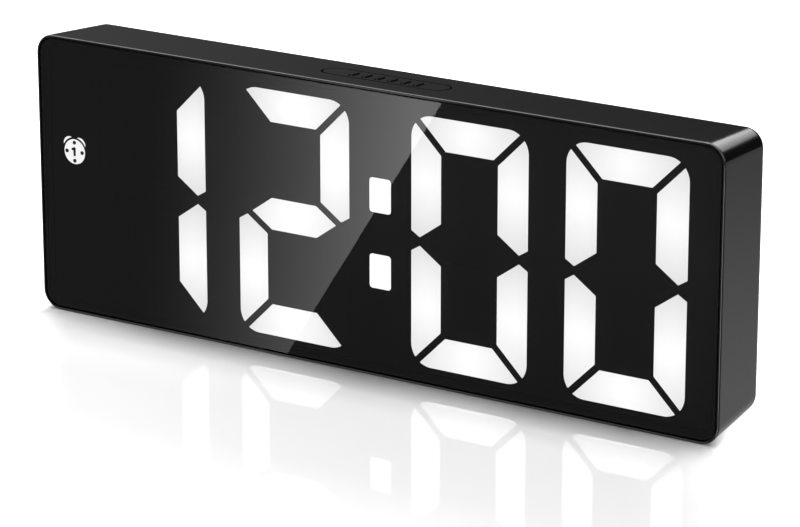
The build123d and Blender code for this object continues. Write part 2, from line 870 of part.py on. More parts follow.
def make_snooze_board():
    """Small board under the snooze button."""
    half = snooze_board_length / 2
    width = around(snooze_board_y, snooze_board_width / 2)
    board = block((-half, half), width, (snooze_board_bottom, snooze_board_top))
    for x in snooze_screw_xs:
        hole = Pos(x, snooze_board_y) * Circle(screw_radius + screw_hole_clearance)
        board -= level(hole, snooze_board_bottom - overrun, snooze_board_top + overrun)
    return board


def make_snooze_switch():
    """Tact switch body on the snooze board, bored for its plunger."""
    half = snooze_switch_size / 2
    body = block(around(0, half), around(snooze_y, half), (snooze_board_top, snooze_switch_top))
    bore = Pos(0, snooze_y) * Circle(plunger_radius + plunger_clearance)
    return body - level(bore, snooze_board_top + switch_floor, snooze_switch_top + overrun)


def make_snooze_leads():
    """Two short wires from the snooze board down to the back of the display board."""
    leads = []
    for n in range(2):
        x = snooze_lead_x + snooze_lead_pitch * n
        low = snooze_board_bottom - snooze_lead_drop
        start = (x, snooze_y, snooze_board_bottom)
        bend = min(snooze_y - display_board_back, snooze_lead_drop) - snooze_lead_radius
        path = FilletPolyline(start, (x, snooze_y, low), (x, display_board_back, low), radius=bend)
        leads.append(sweep(Plane(start, z_dir=(0, 0, -1)) * Circle(snooze_lead_radius), path=path))
    return gather(leads)


def make_tray():
    """Battery bay open to the back, with four ears that are screwed to the cover."""
    body = block(tray_x, (tray_front, tray_back), tray_z)
    body -= block(bay_x, (tray_front + tray_floor, tray_back + overrun), bay_z)
    for x, z in ear_places:
        if x < tray_x[0]:
            inner, outer = tray_x[0], x - tray_ear_reach / 2
        else:
            inner, outer = tray_x[1], x + tray_ear_reach / 2
        ear = block(sorted((inner, outer)), (main_board_front, main_board_back), around(z, tray_ear_height / 2))
        body += ear
        hole = screw_radius + screw_hole_clearance
        body -= rod(x, z, hole, main_board_front - overrun, main_board_back + overrun)
    return body


def cell_middle_z(n):
    """Height of a cell's axis, counted from the bottom."""
    return tray_middle_z + cell_pitch * (n - (cell_count - 1) / 2)


def make_cell(n):
    """AAA cell; every other one is turned round."""
    way = 1 if n % 2 else -1
    can_end = bay_x[0] if way < 0 else bay_x[1]
    nub_face = can_end - way * (contact_thickness + contact_dimple_height + contact_gap)
    z = cell_middle_z(n)
    shoulder = nub_face - way * cell_nub_length
    back = nub_face - way * cell_length
    plane = Plane(origin=(back, cell_y, z), z_dir=(way, 0, 0))
    body = extrude(plane * Circle(cell_radius), amount=abs(shoulder - back))
    return body + extrude(plane * Circle(cell_nub_radius), amount=cell_length)


def make_contact(side, cells):
    """Stamped contact on one end wall, with a dimple or a bowed leaf for each of its cells."""
    wall_x = bay_x[0] if side < 0 else bay_x[1]
    face_x = wall_x - side * contact_thickness
    low = cell_middle_z(min(cells)) - contact_width / 2
    high = cell_middle_z(max(cells)) + contact_width / 2
    body = block(sorted((wall_x, face_x)), around(cell_y, contact_width / 2), (low, high))
    for n in cells:
        z = cell_middle_z(n)
        positive = (n % 2 == 0) == (side < 0)
        plane = Plane(origin=(face_x, cell_y, z), z_dir=(-side, 0, 0))
        if positive:
            body += extrude(plane * Circle(contact_dimple_radius), amount=contact_dimple_height)
        else:
            body += make_leaf(face_x, -side, z)
    return body


def make_leaf(face_x, way, z):
    """Bowed leaf that presses on a cell's flat end."""
    half = contact_width / 2
    tip = face_x + way * contact_leaf_height
    inner_tip = tip - way * contact_thickness
    inner_half = half - contact_thickness
    outer = ThreePointArc((face_x, cell_y - half), (tip, cell_y), (face_x, cell_y + half))
    inner = ThreePointArc((face_x, cell_y + inner_half), (inner_tip, cell_y), (face_x, cell_y - inner_half))
    ends = [Line(outer @ 1, inner @ 0), Line(inner @ 1, outer @ 0)]
    bow = make_face(Wire([outer, ends[0], inner, ends[1]]))
    return level(bow, z - contact_leaf_width / 2, z + contact_leaf_width / 2)


def make_battery_leads():
    """Insulated wires from the outside of the bay to the face of the main board."""
    y = (tray_front + main_board_front) / 2
    out = tray_x[1] + lead_out
    negative = [(tray_x[1], y, negative_lead_z), (out, y, negative_lead_z), (out, y, lead_low_z)]
    negative += [(lead_left_end, y, lead_low_z), (lead_left_end, main_board_front, lead_low_z)]
    end = (lead_left_end, y, positive_lead_z)
    positive = [(tray_x[0], y, positive_lead_z), end, (lead_left_end, main_board_front, positive_lead_z)]
    wires = []
    for points, way in ((positive, -1), (negative, 1)):
        radius = min(lead_bend, main_board_front - y - lead_radius / 2)
        path = FilletPolyline(*points, radius=radius)
        wires.append(sweep(Plane(points[0], z_dir=(way, 0, 0)) * Circle(lead_radius), path=path))
    return gather(wires)


def make_door():
    """Battery door: flush plate, two tabs behind the cover's lower edge, a notch for the latch."""
    body = block(door_x, (door_front, case_back), door_z)
    lower = body.edges().filter_by(Axis.X).group_by(Axis.Z)[0]
    body = fillet(lower, door_hinge_radius)
    middle = sum(door_x) / 2
    notch = latch_width / 2 + latch_gap
    notch_z = (door_z[1] - latch_height, door_z[1] + overrun)
    body -= block(around(middle, notch), (door_front - overrun, case_back + overrun), notch_z)
    tab_back = cover_front - door_tab_gap
    tab_front = tab_back - door_tab_thickness
    for side in (-1, 1):
        span = around(middle + side * door_tab_offset, door_tab_width / 2)
        low = door_z[0] - door_gap - door_tab_reach
        web_z = (door_z[0] + door_hinge_radius, door_z[0] + door_hinge_radius + door_tab_web)
        body += block(span, (tab_front, door_front + door_hinge_radius), web_z)
        body += block(span, (tab_front, tab_back), (low, web_z[1]))
    return body


def make_latch():
    """Springy tongue in the door's notch, with a nose behind the cover's upper edge and grip grooves."""
    middle = sum(door_x) / 2
    span = around(middle, latch_width / 2)
    root = door_z[1] - latch_height
    body = block(span, (case_back - latch_thickness, case_back), (root, door_z[1]))
    nose_back = cover_front - door_tab_gap
    nose_front = nose_back - latch_nose_thickness
    body += block(span, (nose_front, case_back - latch_thickness), (door_z[1] - latch_web, door_z[1]))
    body += block(span, (nose_front, nose_back), (door_z[1] - latch_web, door_z[1] + latch_nose_reach))
    first = root + latch_height / 2 - latch_grip_pitch * (latch_grip_count - 1) / 2
    for n in range(latch_grip_count):
        groove_z = around(first + latch_grip_pitch * n, latch_grip_width / 2)
        body -= block(span, (case_back - latch_grip_depth, case_back + overrun), groove_z)
    return body


def make_feet():
    """Two soft feet under the back, which level the tapered case."""
    foot = Circle(foot_radius)
    return gather([level(Pos(side * foot_x, foot_y) * foot, 0, foot_seat_height) for side in (-1, 1)])


def build():
    """Writes every sub-part."""
    os.makedirs("parts", exist_ok=True)
    save("case_shell", make_case())
    save("front_panel", make_panel())
    save("panel_tape", make_tape())
    save("reflector", make_reflector())
    for position, digit in enumerate(time_shown):
        lit = lit_segments[digit]
        unlit = [name for name in "abcdefg" if name not in lit]
        save(f"digit_{position + 1}_lit", gather([lens(face) for face in digit_faces(position, lit)]))
        save(f"digit_{position + 1}_unlit", gather([lens(face) for face in digit_faces(position, unlit)]))
    save("colon_lens", gather([lens(face) for face in colon_faces()]))
    save("alarm_icon_lens", gather([lens(face) for face in icon_faces()]))
    save("alarm_icon_marks", make_icon_marks())
    save("led_chips", make_led_chips())
    save("display_board", make_display_board())
    lug_back = display_board_back + lug_thickness
    save("display_screws", gather([screw(place, lug_back, -1, display_screw_length) for place in lug_places]))
    save("driver_chip", block(
        around(driver_chip_x, driver_chip_width / 2),
        (display_board_back, display_board_back + driver_chip_thickness),
        around(driver_chip_z, driver_chip_height / 2),
    ))
    save("header_strip", make_header_strip())
    save("header_pins", make_header_pins())
    save("main_board", make_main_board())
    save("clock_chip", block(
        around(clock_chip_x, clock_chip_width / 2),
        (main_board_front - clock_chip_thickness, main_board_front),
        around(clock_chip_z, clock_chip_height / 2),
    ))
    crystal_plane = Plane(
        origin=(crystal_x - crystal_length / 2, main_board_front - crystal_radius, clock_chip_z),
        z_dir=(1, 0, 0),
    )
    save("crystal", extrude(crystal_plane * Circle(crystal_radius), amount=crystal_length))
    save("capacitor", rod(capacitor_x, capacitor_z, capacitor_radius, capacitor_front, main_board_front))
    save("buzzer", rod(buzzer_x, buzzer_z, buzzer_radius, main_board_back, main_board_back + buzzer_height))
    save("usb_inlet", make_inlet())
    save("rear_switches", gather([make_switch(place) for place in button_places]))
    for name, place in zip(button_names, button_places):
        save(f"{name}_plunger", make_plunger(place))
        save(f"{name}_button", make_button(name, place))
    save("snooze_button", make_snooze_button())
    plunger_face = Pos(0, snooze_y) * Circle(plunger_radius)
    save("snooze_plunger", level(plunger_face, snooze_plunger_top - plunger_length, snooze_plunger_top))
    save("snooze_switch", make_snooze_switch())
    save("snooze_board", make_snooze_board())
    save("snooze_board_screws", gather([
        upright_screw(x, snooze_board_y, snooze_board_bottom, snooze_screw_length) for x in snooze_screw_xs
    ]))
    save("snooze_leads", make_snooze_leads())
    save("rear_cover", make_cover())
    recess = case_back - head_recess_depth
    save("cover_screws", gather([screw(place, recess, -1, cover_screw_length) for place in cover_screw_places]))
    inner_places = main_board_places + ear_places
    inner_screws = [screw(place, main_board_front, 1, inner_screw_length) for place in inner_places]
    save("inner_screws", gather(inner_screws))
    save("battery_tray", make_tray())
    for n in range(cell_count):
        save(f"battery_{n + 1}", make_cell(n))
    save("positive_contact", make_contact(-1, [0]))
    save("left_link_contact", make_contact(-1, [1, 2]))
    save("right_link_contact", make_contact(1, [0, 1]))
    save("negative_contact", make_contact(1, [2]))
    save("battery_leads", make_battery_leads())
    save("battery_door", make_door())
    save("battery_door_latch", make_latch())
    save("rear_feet", make_feet())


build()
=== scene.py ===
"""Finish and studio for a slim digital desk clock with lit digits.

Everything is in metres: X to the viewer's right, Y from the window to the back, Z up from the table.
"""

import bmesh
import bpy
from mathutils import Matrix, Vector


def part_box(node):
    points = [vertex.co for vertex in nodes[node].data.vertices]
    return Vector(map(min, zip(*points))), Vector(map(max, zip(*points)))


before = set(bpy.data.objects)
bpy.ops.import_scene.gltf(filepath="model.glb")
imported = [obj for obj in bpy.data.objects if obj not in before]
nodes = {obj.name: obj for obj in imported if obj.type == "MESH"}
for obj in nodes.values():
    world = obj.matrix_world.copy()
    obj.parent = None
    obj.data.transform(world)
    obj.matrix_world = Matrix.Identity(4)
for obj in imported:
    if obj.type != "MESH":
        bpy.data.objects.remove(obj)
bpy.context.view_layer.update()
mm = 0.001
white = (1, 1, 1, 1)


# Camera

def set_camera():
    """Long lens, turned to the clock's right and a little above it."""
    right = Vector((0.84305, 0.53783, 0.00002))
    down = Vector((0.16178, -0.25355, -0.95370))
    forward = Vector((-0.51292, 0.80402, -0.30077))
    lens = bpy.data.cameras.new("camera")
    lens.sensor_width = 36
    lens.lens = 169.53
    camera = bpy.data.objects.new("camera", lens)
    turn = Matrix((right, -down, -forward)).transposed().to_4x4()
    camera.matrix_world = Matrix.Translation((0.40032, -0.62356, 0.25472)) @ turn
    bpy.context.scene.collection.objects.link(camera)
    bpy.context.scene.camera = camera


set_camera()


# Nodes shared by the finishes

class Wiring:
    """A tree of shader nodes: add() makes a node, wires what it is given and returns it."""

    def __init__(self, tree):
        self.tree = tree
        tree.nodes.clear()

    def add(self, kind, sockets=None, **settings):
        node = self.tree.nodes.new(kind)
        for key, value in settings.items():
            setattr(node, key, value)
        for key, value in (sockets or {}).items():
            if isinstance(value, bpy.types.NodeSocket):
                self.tree.links.new(value, node.inputs[key])
            else:
                node.inputs[key].default_value = value
        return node


class Finish(Wiring):
    """A material under construction."""

    def __init__(self, name):
        self.material = bpy.data.materials.new(name)
        self.material.use_nodes = True
        super().__init__(self.material.node_tree)
        self.place = self.add("ShaderNodeTexCoord").outputs["Object"]

    def maths(self, operation, *values):
        """One step of arithmetic."""
        return self.add("ShaderNodeMath", dict(enumerate(values)), operation=operation).outputs[0]

    def plus(self, first, second):
        return self.maths("ADD", first, second)

    def minus(self, first, second):
        return self.maths("SUBTRACT", first, second)

    def over(self, first, second):
        return self.maths("DIVIDE", first, second)

    def times(self, first, *others):
        """Product of two values or more."""
        for other in others:
            first = self.maths("MULTIPLY", first, other)
        return first

    def above(self, value, limit):
        """1 where the value is greater than the limit, and 0 elsewhere."""
        return self.maths("GREATER_THAN", value, limit)

    def below(self, value, limit):
        """1 where the value is less than the limit, and 0 elsewhere."""
        return self.maths("LESS_THAN", value, limit)

    def away(self, value, middle=None):
        """Distance of a value from a middle, or from 0."""
        return self.maths("ABSOLUTE", value if middle is None else self.minus(value, middle))

    def larger(self, first, second):
        return self.maths("MAXIMUM", first, second)

    def spots(self, size, detail=2.0, stretch=None):
        """Noise with features of about the given size."""
        where = self.place
        if stretch:
            where = self.add("ShaderNodeMapping", {"Vector": where, "Scale": stretch}).outputs[0]
        sockets = {"Vector": where, "Scale": 1 / size, "Detail": detail}
        return self.add("ShaderNodeTexNoise", sockets).outputs["Fac"]

    def cells(self, size):
        """Distance from the middles of scattered cells of about the given size."""
        return self.add("ShaderNodeTexVoronoi", {"Vector": self.place, "Scale": 1 / size}).outputs["Distance"]

    def span(self, value, low, high, new_low, new_high):
        """Moves a value from one range to another, held at its ends."""
        sockets = {"Value": value, "From Min": low, "From Max": high, "To Min": new_low, "To Max": new_high}
        return self.add("ShaderNodeMapRange", sockets).outputs[0]

    def clouds(self, size, detail=3.0):
        """Soft patches that run from 0 to 1."""
        return self.span(self.spots(size, detail), 0.3, 0.7, 0.0, 1.0)

    def blend(self, share, first, second):
        """Colour between two colours."""
        return self.add("ShaderNodeMix", {0: share, 6: first, 7: second}, data_type="RGBA").outputs[2]

    def axes(self):
        """X, Y and Z of the point on the piece."""
        return self.add("ShaderNodeSeparateXYZ", {0: self.place}).outputs

    def raised(self, height, depth, base=None):
        """Surface normal from a height pattern."""
        sockets = {"Height": height, "Distance": depth, "Strength": 1.0}
        if base:
            sockets["Normal"] = base
        return self.add("ShaderNodeBump", sockets).outputs[0]

    def edges(self, radius):
        """Mask that is 1 along sharp edges and 0 on open faces."""
        rounded = self.add("ShaderNodeBevel", {"Radius": radius}, samples=6).outputs[0]
        flat = self.add("ShaderNodeNewGeometry").outputs["Normal"]
        along = self.add("ShaderNodeVectorMath", {0: rounded, 1: flat}, operation="DOT_PRODUCT")
        return self.span(along.outputs["Value"], 0.75, 0.995, 1.0, 0.0)

    def close(self, shader):
        """Ends the material with its shader and hands it over."""
        self.add("ShaderNodeOutputMaterial", {"Surface": shader})
        return self.material

    def surface(self, **sockets):
        """Ends the material as a standard surface, with sockets named in plain words."""
        names = {"colour": "Base Color", "roughness": "Roughness", "metal": "Metallic", "normal": "Normal",
                 "gloss": "Specular IOR Level", "glow": "Emission Color", "glow_strength": "Emission Strength"}
        wired = {names[key]: value for key, value in sockets.items()}
        return self.close(self.add("ShaderNodeBsdfPrincipled", wired).outputs[0])

    def light(self, level):
        """Ends the material as plain white light."""
        return self.close(self.add("ShaderNodeEmission", {"Color": white, "Strength": level}).outputs[0])


def grey(level, blue=1.0):
    """Grey of the given level, with its blue a little raised where wanted."""
    return (level, level, level * blue, 1)


def shade(colour, factor):
    """Lighter or darker version of a colour."""
    return tuple(min(1.0, part * factor) for part in colour[:3]) + (1.0,)


# Finishes

def polished_black(name):
    """Glossy black moulding: faint waviness, a thin haze of handling and slightly paler worn edges."""
    f = Finish(name)
    haze = f.spots(0.022, detail=4.0)
    colour = f.blend(f.clouds(0.0045), (0.0022, 0.0022, 0.0023, 1), (0.0032, 0.0032, 0.0034, 1))
    worn = f.times(f.edges(0.25 * mm), f.span(f.spots(0.004), 0.35, 0.65, 0.2, 1.0))
    colour = f.blend(worn, colour, (0.012, 0.012, 0.0124, 1))
    roughness = f.plus(f.span(haze, 0.3, 0.7, 0.095, 0.120), f.times(worn, 0.05))
    waves = f.raised(f.spots(0.008, detail=1.0), 0.003 * mm)
    return f.surface(colour=colour, roughness=roughness, normal=waves)


def tinted_window(name):
    """Dark see-through window, polished in front with faint wipe marks, that reflects only in front."""
    f = Finish(name)
    front_face_end = -9.6 * mm
    wipes = f.spots(0.012, detail=3.0, stretch=(0.25, 1.0, 1.0))
    roughness = f.span(wipes, 0.35, 0.75, 0.004, 0.020)
    front = f.below(f.axes()[1], front_face_end)
    share = f.times(f.add("ShaderNodeFresnel", {"IOR": 1.5}).outputs[0], front)
    tint = f.blend(f.clouds(0.05, detail=2.0), (0.700, 0.700, 0.702, 1), (0.710, 0.710, 0.711, 1))
    through = f.add("ShaderNodeBsdfTransparent", {"Color": tint}).outputs[0]
    mirror = f.add("ShaderNodeBsdfGlossy", {"Color": white, "Roughness": roughness}).outputs[0]
    return f.close(f.add("ShaderNodeMixShader", {0: share, 1: through, 2: mirror}).outputs[0])


def flat_black(name, level=0.009, roughness=0.62, grain=0.0004, gloss=0.5):
    """Dull black moulding with a fine even grain."""
    f = Finish(name)
    dark = grey(level, 1.04)
    colour = f.blend(f.clouds(0.009), dark, shade(dark, 1.35))
    rough = f.span(f.spots(0.003), 0.3, 0.7, roughness - 0.05, roughness + 0.05)
    normal = f.raised(f.spots(grain, detail=1.0), 0.002 * mm)
    return f.surface(colour=colour, roughness=rough, normal=normal, gloss=gloss)


def bar_fade(f, middle_x):
    """Fall of light from the middle of each bar of a digit towards its ends, found from the bars' layout."""
    half_width, half_height, middle_z = 13.65 * mm, 26.5 * mm, 30.2 * mm
    centre_bar_reach, centre_bar_slope = 11.65 * mm, 0.704
    middle_level, end_level = 1.0, 0.78
    x, _, z = f.axes()
    across = f.away(x, middle_x)
    up = f.away(z, middle_z)
    along_bar = f.over(across, half_width)
    along_upright = f.over(f.away(up, half_height / 2), half_height / 2)
    outer = f.above(f.minus(up, half_height), f.minus(across, half_width))
    inner = f.below(up, f.times(f.minus(centre_bar_reach, across), centre_bar_slope))
    bar = f.larger(outer, inner)
    far = f.plus(f.times(along_bar, bar), f.times(along_upright, f.minus(1.0, bar)))
    return f.span(far, 0.08, 0.95, middle_level, end_level)


def lit_segment(name, middle_x=None, strength=1.83):
    """Milky lens lit from behind: brightest half way along each bar, a little greyer towards its ends."""
    f = Finish(name)
    grain = f.spots(0.0007)
    level = soft = f.span(f.spots(0.004, detail=3.0), 0.3, 0.7, 0.985, 1.0)
    if middle_x is not None:
        level = f.times(soft, f.larger(bar_fade(f, middle_x), f.edges(0.3 * mm)))
    glow = f.add("ShaderNodeCombineColor", {0: level, 1: level, 2: level}).outputs[0]
    normal = f.raised(grain, 0.003 * mm)
    rough = f.span(grain, 0.3, 0.7, 0.42, 0.55)
    colour = f.blend(soft, grey(0.50), grey(0.56))
    return f.surface(
        colour=colour, roughness=rough, gloss=0.3, glow=glow, glow_strength=strength, normal=normal)


def grained_black(name, level=0.026, roughness=0.46, grain=0.00055, depth=0.035):
    """Textured black moulding, as on a rear cover, rubbed a little brighter along its edges."""
    f = Finish(name)
    dark = grey(level, 1.03)
    height = f.plus(f.cells(grain), f.times(f.spots(grain / 2), 0.5))
    clouds = f.clouds(0.012, detail=4.0)
    rubbed = f.times(f.edges(0.16 * mm), f.span(f.spots(0.003), 0.35, 0.6, 0.2, 0.9))
    colour = f.blend(rubbed, f.blend(clouds, dark, shade(dark, 1.18)), shade(grey(level), 2.6))
    rough = f.minus(f.span(clouds, 0.0, 1.0, roughness, roughness + 0.08), f.times(rubbed, 0.12))
    return f.surface(colour=colour, roughness=rough, normal=f.raised(height, depth * mm))


def touched_black(name, level=0.020):
    """Satin black key, clouded by fingers and rubbed brighter along its edges."""
    f = Finish(name)
    dark = grey(level)
    clouds = f.clouds(0.0022)
    edge = f.edges(0.14 * mm)
    colour = f.blend(f.times(edge, 0.8), f.blend(clouds, dark, shade(dark, 1.4)), shade(dark, 2.6))
    rough = f.plus(f.span(clouds, 0.0, 1.0, 0.30, 0.38), f.times(edge, 0.08))
    return f.surface(colour=colour, roughness=rough, normal=f.raised(f.spots(0.0003), 0.006 * mm))


def soft_rubber(name):
    """Black rubber with a dry bloom and fine pits."""
    f = Finish(name)
    bloom = f.span(f.spots(0.0018, detail=4.0), 0.35, 0.7, 0.0, 1.0)
    colour = f.blend(bloom, grey(0.012), (0.035, 0.035, 0.034, 1))
    rough = f.span(bloom, 0.0, 1.0, 0.75, 0.92)
    return f.surface(colour=colour, roughness=rough, normal=f.raised(f.spots(0.00035), 0.03 * mm))


def plated_metal(name, colour, roughness=0.28, stretch=(1.0, 1.0, 1.0), metal=1.0):
    """Plated metal with fine drawing lines and a few dull patches."""
    f = Finish(name)
    lines = f.spots(0.0006, stretch=stretch)
    patches = f.span(f.spots(0.0025, detail=3.0), 0.4, 0.7, 0.0, 1.0)
    tone = f.blend(patches, colour, shade(colour, 0.72))
    rough = f.plus(f.span(lines, 0.3, 0.7, roughness - 0.06, roughness + 0.06), f.times(patches, 0.12))
    return f.surface(colour=tone, roughness=rough, metal=metal, normal=f.raised(lines, 0.003 * mm))


def circuit_board(name):
    """Green mask over faint copper tracks."""
    f = Finish(name)
    x, _, z = f.axes()
    bricks = f.add("ShaderNodeTexBrick", {
        "Vector": f.add("ShaderNodeCombineXYZ", {0: x, 1: z}).outputs[0], "Scale": 1.0, "Mortar Size": 0.00022,
        "Brick Width": 0.0076, "Row Height": 0.0021, "Mortar Smooth": 0.1,
        "Color1": (0, 0, 0, 1), "Color2": (0, 0, 0, 1), "Mortar": white})
    tracks = f.times(bricks.outputs["Fac"], f.span(f.spots(0.009), 0.45, 0.5, 0.0, 1.0))
    colour = f.blend(tracks, (0.006, 0.052, 0.022, 1), (0.014, 0.105, 0.042, 1))
    colour = f.blend(f.span(f.spots(0.004), 0.3, 0.7, 0.0, 0.4), colour, (0.004, 0.04, 0.018, 1))
    rough = f.span(f.spots(0.0015), 0.3, 0.7, 0.26, 0.36)
    return f.surface(colour=colour, roughness=rough, normal=f.raised(tracks, 0.03 * mm))


def moulded_resin(name, colour, roughness=0.45):
    """Plain moulded resin or plastic of one colour, with its own fine grain."""
    f = Finish(name)
    clouds = f.clouds(0.0016)
    tone = f.blend(clouds, colour, shade(colour, 1.22))
    rough = f.span(clouds, 0.0, 1.0, roughness - 0.05, roughness + 0.07)
    return f.surface(colour=tone, roughness=rough, normal=f.raised(f.spots(0.0003), 0.008 * mm))


def insulated_wire(name):
    """Soft black insulation with a low shine."""
    f = Finish(name)
    smear = f.spots(0.002)
    colour = f.blend(smear, grey(0.010), (0.030, 0.030, 0.031, 1))
    rough = f.span(smear, 0.3, 0.7, 0.38, 0.5)
    return f.surface(colour=colour, roughness=rough, normal=f.raised(smear, 0.01 * mm))


def foam_tape(name):
    """Closed-cell black foam."""
    f = Finish(name)
    cells = f.cells(0.0003)
    colour = f.blend(cells, grey(0.0045), grey(0.008))
    rough = f.span(cells, 0.0, 1.0, 0.8, 0.95)
    return f.surface(colour=colour, roughness=rough, gloss=0.15, normal=f.raised(cells, 0.01 * mm))


def sleeved_cell(name, nub_right):
    """Dry cell: green sleeve with a copper band towards the nub, and bare metal at both ends."""
    f = Finish(name)
    sleeve_start, band_end, sleeve_end = 1.25 * mm, 13.5 * mm, 44.15 * mm
    low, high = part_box(name)
    nub_end = high.x if nub_right else low.x
    along = f.times(f.minus(f.axes()[0], nub_end), -1 if nub_right else 1)
    bare = f.larger(f.below(along, sleeve_start), f.above(along, sleeve_end))
    band = f.below(along, band_end)
    scuffs = f.span(f.spots(0.003, detail=4.0, stretch=(0.3, 1.0, 1.0)), 0.55, 0.75, 0.0, 1.0)
    sleeve = f.blend(band, (0.010, 0.075, 0.045, 1), (0.50, 0.24, 0.09, 1))
    sleeve = f.blend(f.times(scuffs, 0.35), sleeve, (0.30, 0.30, 0.29, 1))
    colour = f.blend(bare, sleeve, (0.62, 0.61, 0.58, 1))
    metal = f.larger(bare, f.times(band, 0.75))
    rough = f.plus(f.span(scuffs, 0.0, 1.0, 0.27, 0.40), f.times(bare, 0.05))
    lip = f.raised(f.minus(1.0, bare), 0.05 * mm)
    normal = f.raised(f.spots(0.0009), 0.006 * mm, base=lip)
    return f.surface(colour=colour, roughness=rough, metal=metal, normal=normal)


def inlet_finish(name):
    """Bright drawn shell round a black contact tongue."""
    f = Finish(name)
    tongue_half_width, tongue_half_height = 2.2 * mm, 0.5 * mm
    low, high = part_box("usb_inlet")
    x, _, z = f.axes()
    near_x = f.below(f.away(x, (low.x + high.x) / 2), tongue_half_width)
    near_z = f.below(f.away(z, (low.z + high.z) / 2), tongue_half_height)
    tongue = f.times(near_x, near_z)
    lines = f.spots(0.0004, stretch=(1.0, 0.1, 1.0))
    colour = f.blend(tongue, (0.60, 0.60, 0.61, 1), grey(0.012))
    rough = f.plus(f.span(lines, 0.3, 0.7, 0.22, 0.34), f.times(tongue, 0.2))
    metal = f.minus(1.0, tongue)
    return f.surface(colour=colour, roughness=rough, metal=metal, normal=f.raised(lines, 0.003 * mm))


def dress_nodes():
    """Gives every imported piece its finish."""
    black = polished_black("case_gloss")
    dull = flat_black("display_black", 0.0050, gloss=0.15)
    dark_lens = flat_black("dark_lens", 0.0053, 0.58, 0.0007, gloss=0.15)
    board = circuit_board("board_green")
    steel = plated_metal("zinc_screw", (0.30, 0.30, 0.31, 1), 0.34, stretch=(1.0, 0.3, 1.0))
    chip = moulded_resin("chip_black", grey(0.012), 0.55)
    switch = moulded_resin("switch_black", grey(0.016), 0.48)
    plunger = moulded_resin("plunger_white", (0.62, 0.61, 0.57, 1), 0.4)
    wire = insulated_wire("wire_black")
    cover = grained_black("cover_grain")
    door = grained_black("door_grain", 0.030, 0.44)
    tray = grained_black("tray_grain", 0.020, 0.56, 0.0004, 0.015)
    contact = plated_metal("contact_nickel", (0.66, 0.64, 0.58, 1), 0.26)
    key = touched_black("key_satin")
    finishes = {
        "case_shell": black, "snooze_button": black, "front_panel": tinted_window("window_tint"),
        "panel_tape": foam_tape("tape_foam"), "reflector": dull, "display_board": board, "main_board": board,
        "snooze_board": board, "display_screws": steel, "inner_screws": steel, "snooze_board_screws": steel,
        "cover_screws": plated_metal("black_screw", (0.14, 0.14, 0.145, 1), 0.34, metal=0.9),
        "led_chips": moulded_resin("led_resin", (0.72, 0.60, 0.22, 1), 0.3),
        "driver_chip": chip, "clock_chip": chip, "header_strip": chip, "buzzer": chip,
        "header_pins": plated_metal("pin_gold", (0.78, 0.55, 0.20, 1), 0.22),
        "crystal": plated_metal("crystal_tin", grey(0.70), 0.2),
        "capacitor": moulded_resin("capacitor_sleeve", (0.012, 0.016, 0.045, 1), 0.3),
        "usb_inlet": inlet_finish("inlet_steel"), "rear_switches": switch, "snooze_switch": switch,
        "snooze_leads": wire, "battery_leads": wire, "rear_cover": cover, "battery_door": door,
        "battery_door_latch": door, "battery_tray": tray, "positive_contact": contact,
        "negative_contact": contact, "left_link_contact": contact, "right_link_contact": contact,
        "rear_feet": soft_rubber("foot_rubber"), "colon_lens": lit_segment("colon_glow", strength=2.1),
        "alarm_icon_lens": lit_segment("icon_glow"), "alarm_icon_marks": flat_black("icon_print", 0.012, 0.5),
        "battery_1": sleeved_cell("battery_1", False), "battery_2": sleeved_cell("battery_2", True),
        "battery_3": sleeved_cell("battery_3", False), "snooze_plunger": plunger,
    }
    digit_middles = (-53.7, -17.8, 24.5, 60.4)
    for place, middle in enumerate(digit_middles, 1):
        finishes[f"digit_{place}_lit"] = lit_segment(f"digit_{place}_glow", middle * mm)
        finishes[f"digit_{place}_unlit"] = dark_lens
    for key_name in ("set", "mode", "up", "down"):
        finishes[f"{key_name}_button"] = key
        finishes[f"{key_name}_plunger"] = plunger
    for name, node in nodes.items():
        node.material_slots[0].material = finishes[name]


dress_nodes()


# Light of the studio's cards and finish of the table

# Distances of the viewer in plan, which the glare and the table's polish are laid out with
viewer_x = 0.400
viewer_to_front = 0.6134
viewer_to_middle = 0.6236
viewer_to_mirrored_middle = 0.603

# Tip of the bright wedge beside the clock's right front corner
wedge_tip = (0.0832, -0.0110)


def plain_glow(name, level):
    """Even light of one level."""
    return Finish(name).light(level)


def fading_glow(name, axis, low, high, level_low, level_high):
    """Light that goes from one level to another along X (axis 0) or Y (axis 1)."""
    f = Finish(name)
    return f.light(f.span(f.axes()[axis], low, high, level_low, level_high))


def on_front(f, x, reach, shift=viewer_x):
    """Where the viewer's line to a point crosses the clock's front, and how much it is spread out there."""
    spread = f.over(viewer_to_front, reach)
    return f.plus(f.times(f.minus(x, viewer_x), spread), shift), spread


def glare_glow(name):
    """Light that swells from the window's left towards the slanting edge, a little sooner lower down."""
    f = Finish(name)
    x, y, _ = f.axes()
    shift, lean, steepness = 0.3805, 0.0256, 2.05
    dimmest, gain = 0.20, 3.0
    on_window, spread = on_front(f, x, f.minus(viewer_to_mirrored_middle, y), shift)
    leaning = f.plus(on_window, f.times(spread, lean))
    rise = f.maths("POWER", f.span(leaning, -0.055, 0.0125, 0.0, 1.0), steepness)
    return f.light(f.plus(f.times(rise, gain), dimmest))


def strip_fade(name):
    """Bright wedge on the table beside the clock, brightest along its middle."""
    f = Finish(name)
    x, y, _ = f.axes()
    tip_x, tip_y = wedge_tip
    left_slope, right_slope, gain = -0.2136, 0.69, 22.0
    across = f.span(f.over(f.minus(x, tip_x), f.minus(tip_y, y)), left_slope, right_slope, 0.0, 1.0)
    return f.light(f.times(across, f.minus(1.0, across), gain))


